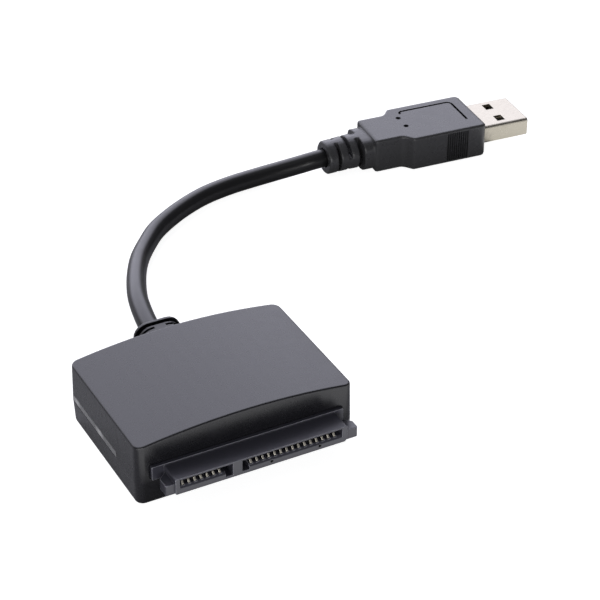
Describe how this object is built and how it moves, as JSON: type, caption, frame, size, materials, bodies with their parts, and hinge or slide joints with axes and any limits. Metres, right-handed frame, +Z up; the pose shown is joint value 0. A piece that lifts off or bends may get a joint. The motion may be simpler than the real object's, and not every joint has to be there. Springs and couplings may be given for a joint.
{
  "type": "usb to sata adapter",
  "caption": "Small plastic housing with a slotted drive receptacle at the front and a round cord at the back that ends in a USB-A plug.",
  "frame": {"origin": "on the table under the middle of the housing and its receptacle, without the cord, its grommet and its plug", "axes": "+X along the receptacle, from its signal slot to its power slot; -Y out of the receptacle; +Z up"},
  "size_m": [0.1423, 0.1072, 0.0149],
  "materials": {
    "housing_plastic": "satin",
    "base_plastic": "satin",
    "light_plastic": "smooth, slightly translucent",
    "receptacle_plastic": "satin",
    "contact_gold": "gold-plated spring metal",
    "board_green": "solder resist",
    "chip_black": "moulded resin",
    "crystal_steel": "plated can",
    "led_resin": "clear resin",
    "choke_ferrite": "sintered ferrite",
    "grommet_rubber": "matt",
    "cord_jacket": "satin jacket",
    "overmould_plastic": "fine satin",
    "shell_steel": "plated, satin",
    "tongue_plastic": "satin",
    "pad_gold": "gold-plated"
  },
  "bodies": {
    "root": {"cable_grommet": "grommet_rubber", "circuit_board": "board_green", "controller_chip": "chip_black", "crystal": "crystal_steel", "light_guide": "light_plastic", "lower_shell": "base_plastic", "memory_chip": "chip_black", "plug_overmould": "overmould_plastic", "power_choke": "choke_ferrite", "regulator": "chip_black", "sata_contact_p1": "contact_gold", "sata_contact_p10": "contact_gold", "sata_contact_p11": "contact_gold", "sata_contact_p12": "contact_gold", "sata_contact_p13": "contact_gold", "sata_contact_p14": "contact_gold", "sata_contact_p15": "contact_gold", "sata_contact_p2": "contact_gold", "sata_contact_p3": "contact_gold", "sata_contact_p4": "contact_gold", "sata_contact_p5": "contact_gold", "sata_contact_p6": "contact_gold", "sata_contact_p7": "contact_gold", "sata_contact_p8": "contact_gold", "sata_contact_p9": "contact_gold", "sata_contact_s1": "contact_gold", "sata_contact_s2": "contact_gold", "sata_contact_s3": "contact_gold", "sata_contact_s4": "contact_gold", "sata_contact_s5": "contact_gold", "sata_contact_s6": "contact_gold", "sata_contact_s7": "contact_gold", "sata_housing": "receptacle_plastic", "status_led": "led_resin", "upper_shell": "housing_plastic", "usb_cable": "cord_jacket", "usb_contact_1": "pad_gold", "usb_contact_2": "pad_gold", "usb_contact_3": "pad_gold", "usb_contact_4": "pad_gold", "usb_contact_5": "pad_gold", "usb_contact_6": "pad_gold", "usb_contact_7": "pad_gold", "usb_contact_8": "pad_gold", "usb_contact_9": "pad_gold", "usb_insulator": "tongue_plastic", "usb_shell": "shell_steel"}
  },
  "joints": []
}
